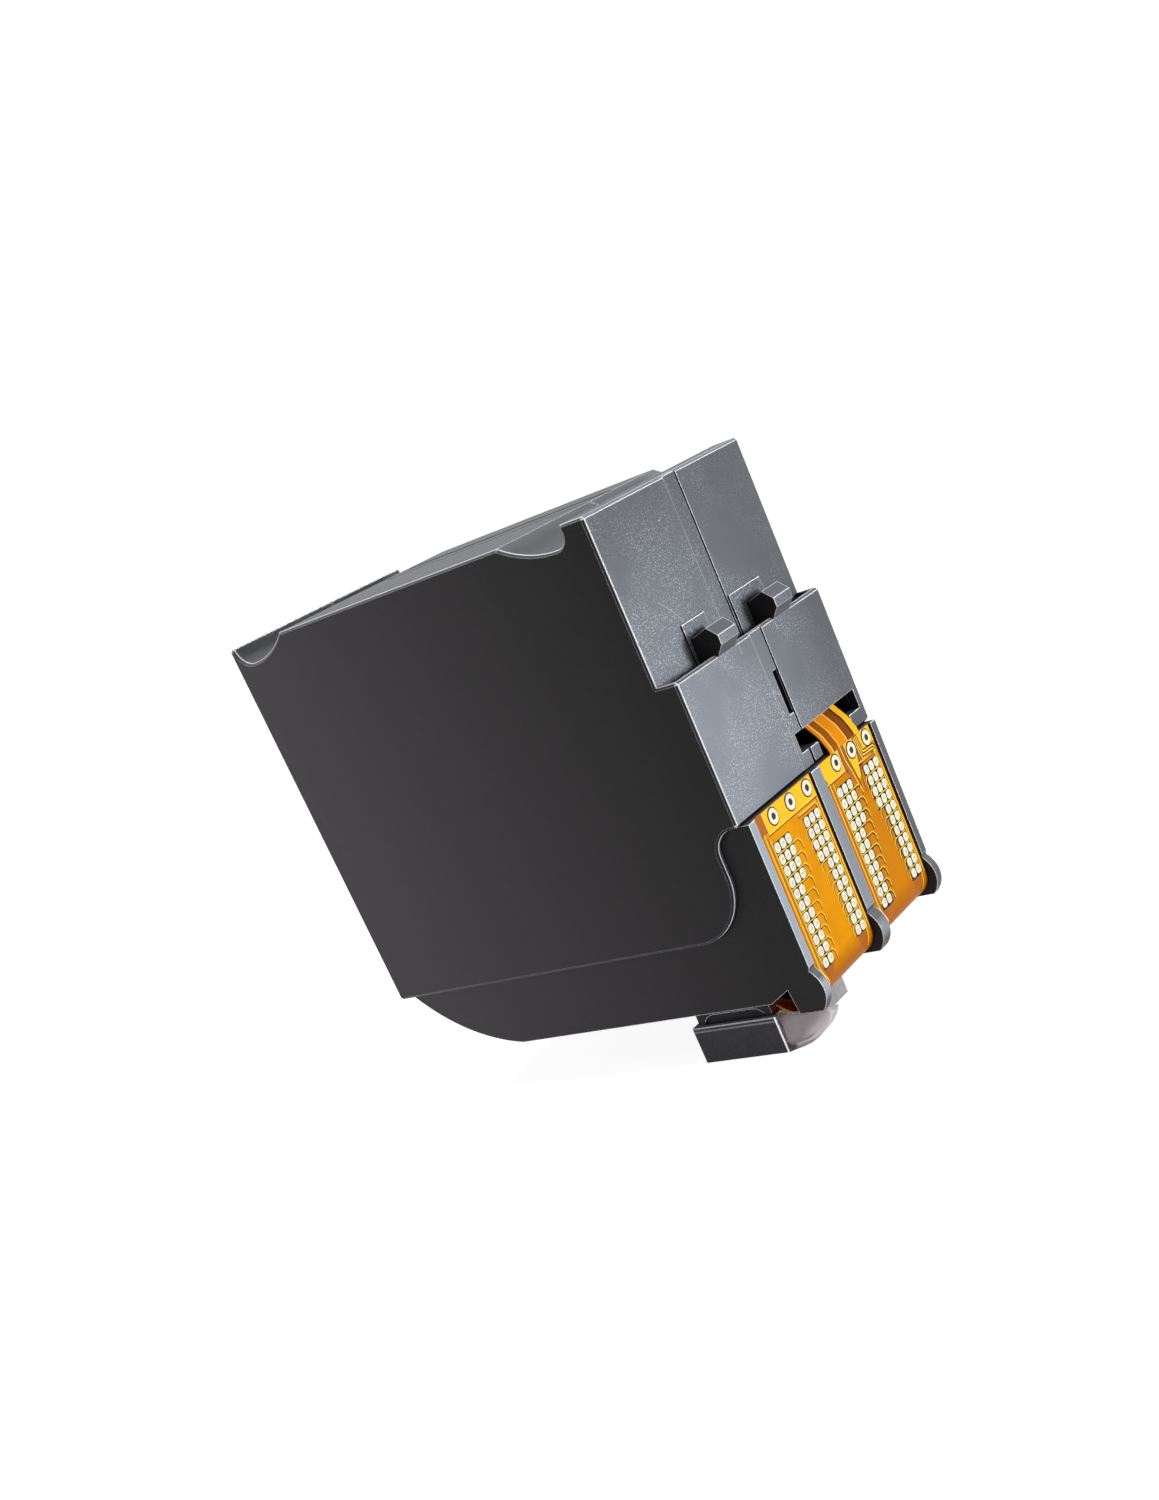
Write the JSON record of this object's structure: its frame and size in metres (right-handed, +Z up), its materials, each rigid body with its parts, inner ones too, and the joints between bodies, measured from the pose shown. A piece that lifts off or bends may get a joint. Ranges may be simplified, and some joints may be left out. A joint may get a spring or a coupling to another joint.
{
  "type": "inkjet ink cartridge",
  "caption": "Dark twin-head inkjet cartridge: a boxy case of two half shells on a printhead base, with amber contact circuits in front and clear caps over the nozzles.",
  "frame": {"origin": "on the base's flat underside, at the middle of the case's width and depth", "axes": "+Z up, -Y out of the front with the contacts, +X across the width to the side of the rear head"},
  "size_m": [0.044, 0.0859, 0.0869],
  "materials": {
    "case_plastic": "fine moulded texture",
    "base_plastic": "smooth moulded",
    "polyimide_film": "amber film",
    "gold_plating": "pale gold plate",
    "silicon": "polished",
    "nozzle_metal": "plated nickel",
    "encapsulant_resin": "cured resin",
    "filter_mesh": "woven mesh",
    "clear_cap_plastic": "clear moulded",
    "seal_rubber": "soft",
    "inner_plastic": "natural",
    "bag_foil": "metallised film",
    "spring_steel": "stainless",
    "board_laminate": "solder mask",
    "chip_plastic": "moulded"
  },
  "bodies": {
    "root": {"left_case_shell": "case_plastic", "right_case_shell": "case_plastic", "printhead_base": "base_plastic", "left_flex_circuit": "polyimide_film", "right_flex_circuit": "polyimide_film", "left_contact_pads": "gold_plating", "right_contact_pads": "gold_plating", "left_test_rings": "gold_plating", "right_test_rings": "gold_plating", "left_printhead_die": "silicon", "right_printhead_die": "silicon", "left_nozzle_plate": "nozzle_metal", "right_nozzle_plate": "nozzle_metal", "left_encapsulant": "encapsulant_resin", "right_encapsulant": "encapsulant_resin", "left_ink_filter": "filter_mesh", "right_ink_filter": "filter_mesh", "left_nozzle_cap": "clear_cap_plastic", "right_nozzle_cap": "clear_cap_plastic", "left_cap_seal": "seal_rubber", "right_cap_seal": "seal_rubber", "ink_manifold": "inner_plastic", "bag_frame": "inner_plastic", "left_bag_film": "bag_foil", "right_bag_film": "bag_foil", "left_bag_plate": "spring_steel", "right_bag_plate": "spring_steel", "bag_spring": "spring_steel", "fill_ball": "spring_steel", "circuit_board": "board_laminate", "board_chip": "chip_plastic"}
  },
  "joints": []
}
